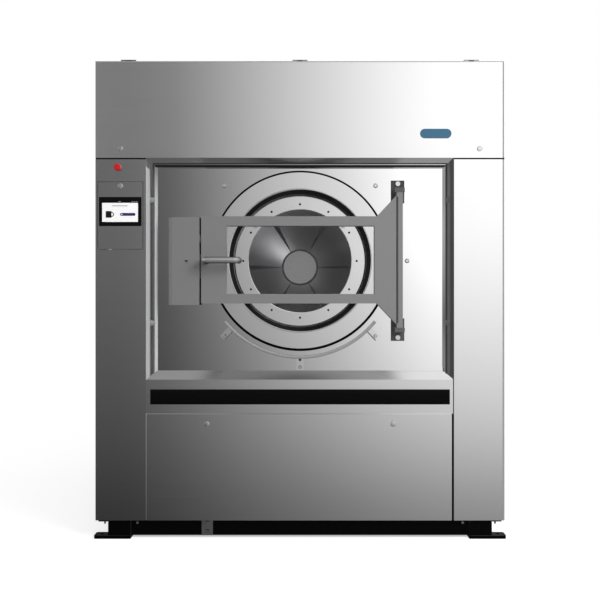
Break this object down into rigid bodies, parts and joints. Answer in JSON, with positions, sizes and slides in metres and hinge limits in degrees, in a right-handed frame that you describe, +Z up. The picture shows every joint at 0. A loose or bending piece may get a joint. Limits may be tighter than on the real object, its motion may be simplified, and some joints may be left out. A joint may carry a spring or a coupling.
{
  "type": "washer-extractor",
  "caption": "Large front-loading industrial washer-extractor: stainless cabinet, recessed round glass door on a swinging frame, soft-mounted tub and belt-driven drum.",
  "frame": {"origin": "on the floor under the middle of the machine's box", "axes": "+X to the right seen from the front, +Y to the back, +Z up"},
  "size_m": [1.822, 1.86, 2.112],
  "materials": {
    "stainless": "satin",
    "polished_steel": "polished",
    "drum_steel": "satin",
    "zinc": "satin",
    "black_paint": "satin",
    "grey_paint": "satin",
    "dark_frame": "matte",
    "box_paint": "satin",
    "black_rubber": "matte",
    "window_glass": "gloss",
    "red_plastic": "gloss",
    "black_plastic": "gloss",
    "drain_plastic": "matte",
    "blue_plate": "satin",
    "bright_steel": "polished",
    "cast": "matte",
    "motor_shell": "satin",
    "brass_body": "satin"
  },
  "bodies": {
    "cabinet": {"base_frame": "black_paint", "foot_plates": "black_paint", "base_bracket": "zinc", "cabinet_fasteners": "zinc", "cabinet_frame": "dark_frame", "left_pillar": "stainless", "right_pillar": "stainless", "lintel": "stainless", "side_panels": "stainless", "rear_panel": "stainless", "roof_panel": "stainless", "apron": "stainless", "bumper": "black_rubber", "control_box": "box_paint", "rear_fittings": "brass_body", "drain_outlet": "drain_plastic", "air_springs": "black_rubber", "drain_hose": "black_rubber"},
    "tub": {"front_tray": "stainless", "tray_fasteners": "zinc", "door_collar": "polished_steel", "door_gasket": "black_rubber", "drip_gutter": "stainless", "tub_shell": "stainless", "tub_back": "stainless", "saddle_plates": "black_paint", "bearing_housing": "cast", "bearings": "bright_steel", "shaft_seal": "black_rubber", "motor": "motor_shell", "drive_belts": "black_rubber", "hinge_brackets": "grey_paint", "lock_housing": "grey_paint", "drain_valve": "drain_plastic"},
    "drum": {"drum_shell": "drum_steel", "drum_back": "drum_steel", "lifters": "drum_steel", "hub_cover": "drum_steel", "drum_shaft": "bright_steel", "drum_pulley": "cast"},
    "motor_rotor": {"motor_pulley": "cast"},
    "door": {"door_frame": "grey_paint", "door_ring": "polished_steel", "door_glass": "window_glass", "door_screws": "black_paint", "hinge_bar": "grey_paint"},
    "handle": {"door_handle": "bright_steel", "latch_tongue": "zinc"},
    "lock_bolt": {"lock_bolt": "bright_steel"},
    "stop_button": {"stop_button": "red_plastic"},
    "control_door": {"control_door": "stainless", "display_panel": "black_plastic"},
    "control_lock": {"control_lock": "bright_steel"},
    "top_panel": {"top_panel": "stainless", "badge_plate": "blue_plate"},
    "top_lock_left": {"top_lock_left": "bright_steel"},
    "top_lock_right": {"top_lock_right": "bright_steel"},
    "lower_panel": {"lower_panel": "stainless"},
    "lower_lock_left": {"lower_lock_left": "bright_steel"},
    "lower_lock_right": {"lower_lock_right": "bright_steel"}
  },
  "joints": [
    {"name": "tub_suspension", "type": "slide", "parent": "cabinet", "child": "tub", "axis": [0, 0, 1], "range_m": [-0.012, 0.012], "stiffness_N_per_m": 600000, "springref_m": 0.01744, "deforming": ["air_springs", "drain_hose"]},
    {"name": "drum_spin", "type": "hinge", "parent": "tub", "child": "drum", "pos_m": [0, 0, 1.24], "axis": [0, 1, 0], "continuous": true},
    {"name": "motor_spin", "type": "hinge", "parent": "tub", "child": "motor_rotor", "pos_m": [0.7, 0, 1.7993], "axis": [0, 1, 0], "continuous": true},
    {"name": "door_swing", "type": "hinge", "parent": "tub", "child": "door", "pos_m": [0.463, -0.675, 1.24], "axis": [0, 0, 1], "range_deg": [0, 120]},
    {"name": "handle_turn", "type": "hinge", "parent": "door", "child": "handle", "pos_m": [-0.434, -0.7, 1.235], "axis": [0, 1, 0], "range_deg": [0, 90]},
    {"name": "lock_bolt_slide", "type": "slide", "parent": "tub", "child": "lock_bolt", "axis": [1, 0, 0], "range_m": [0, 0.015]},
    {"name": "stop_button_press", "type": "slide", "parent": "cabinet", "child": "stop_button", "axis": [0, 1, 0], "range_m": [0, 0.005], "stiffness_N_per_m": 2500},
    {"name": "control_door_tilt", "type": "hinge", "parent": "cabinet", "child": "control_door", "pos_m": [-0.7905, -0.884, 1.284], "axis": [1, 0, 0], "range_deg": [0, 60]},
    {"name": "control_lock_turn", "type": "hinge", "parent": "control_door", "child": "control_lock", "pos_m": [-0.7905, -0.89, 1.555], "axis": [0, -1, 0], "range_deg": [0, 90]},
    {"name": "top_panel_lift", "type": "hinge", "parent": "cabinet", "child": "top_panel", "pos_m": [0, -0.884, 2.107], "axis": [-1, 0, 0], "range_deg": [0, 85]},
    {"name": "top_lock_left_turn", "type": "hinge", "parent": "top_panel", "child": "top_lock_left", "pos_m": [-0.79, -0.89, 1.72], "axis": [0, 1, 0], "range_deg": [0, 90]},
    {"name": "top_lock_right_turn", "type": "hinge", "parent": "top_panel", "child": "top_lock_right", "pos_m": [0.79, -0.89, 1.72], "axis": [0, -1, 0], "range_deg": [0, 90]},
    {"name": "lower_panel_tilt", "type": "hinge", "parent": "cabinet", "child": "lower_panel", "pos_m": [0, -0.878, 0.096], "axis": [1, 0, 0], "range_deg": [0, 25]},
    {"name": "lower_lock_left_turn", "type": "hinge", "parent": "lower_panel", "child": "lower_lock_left", "pos_m": [-0.41, -0.89, 0.508], "axis": [0, -1, 0], "range_deg": [0, 90]},
    {"name": "lower_lock_right_turn", "type": "hinge", "parent": "lower_panel", "child": "lower_lock_right", "pos_m": [0.41, -0.89, 0.508], "axis": [0, 1, 0], "range_deg": [0, 90]}
  ],
  "couplings": [
    {"joint": "motor_spin", "follows": "drum_spin", "ratio": 4.375}
  ]
}
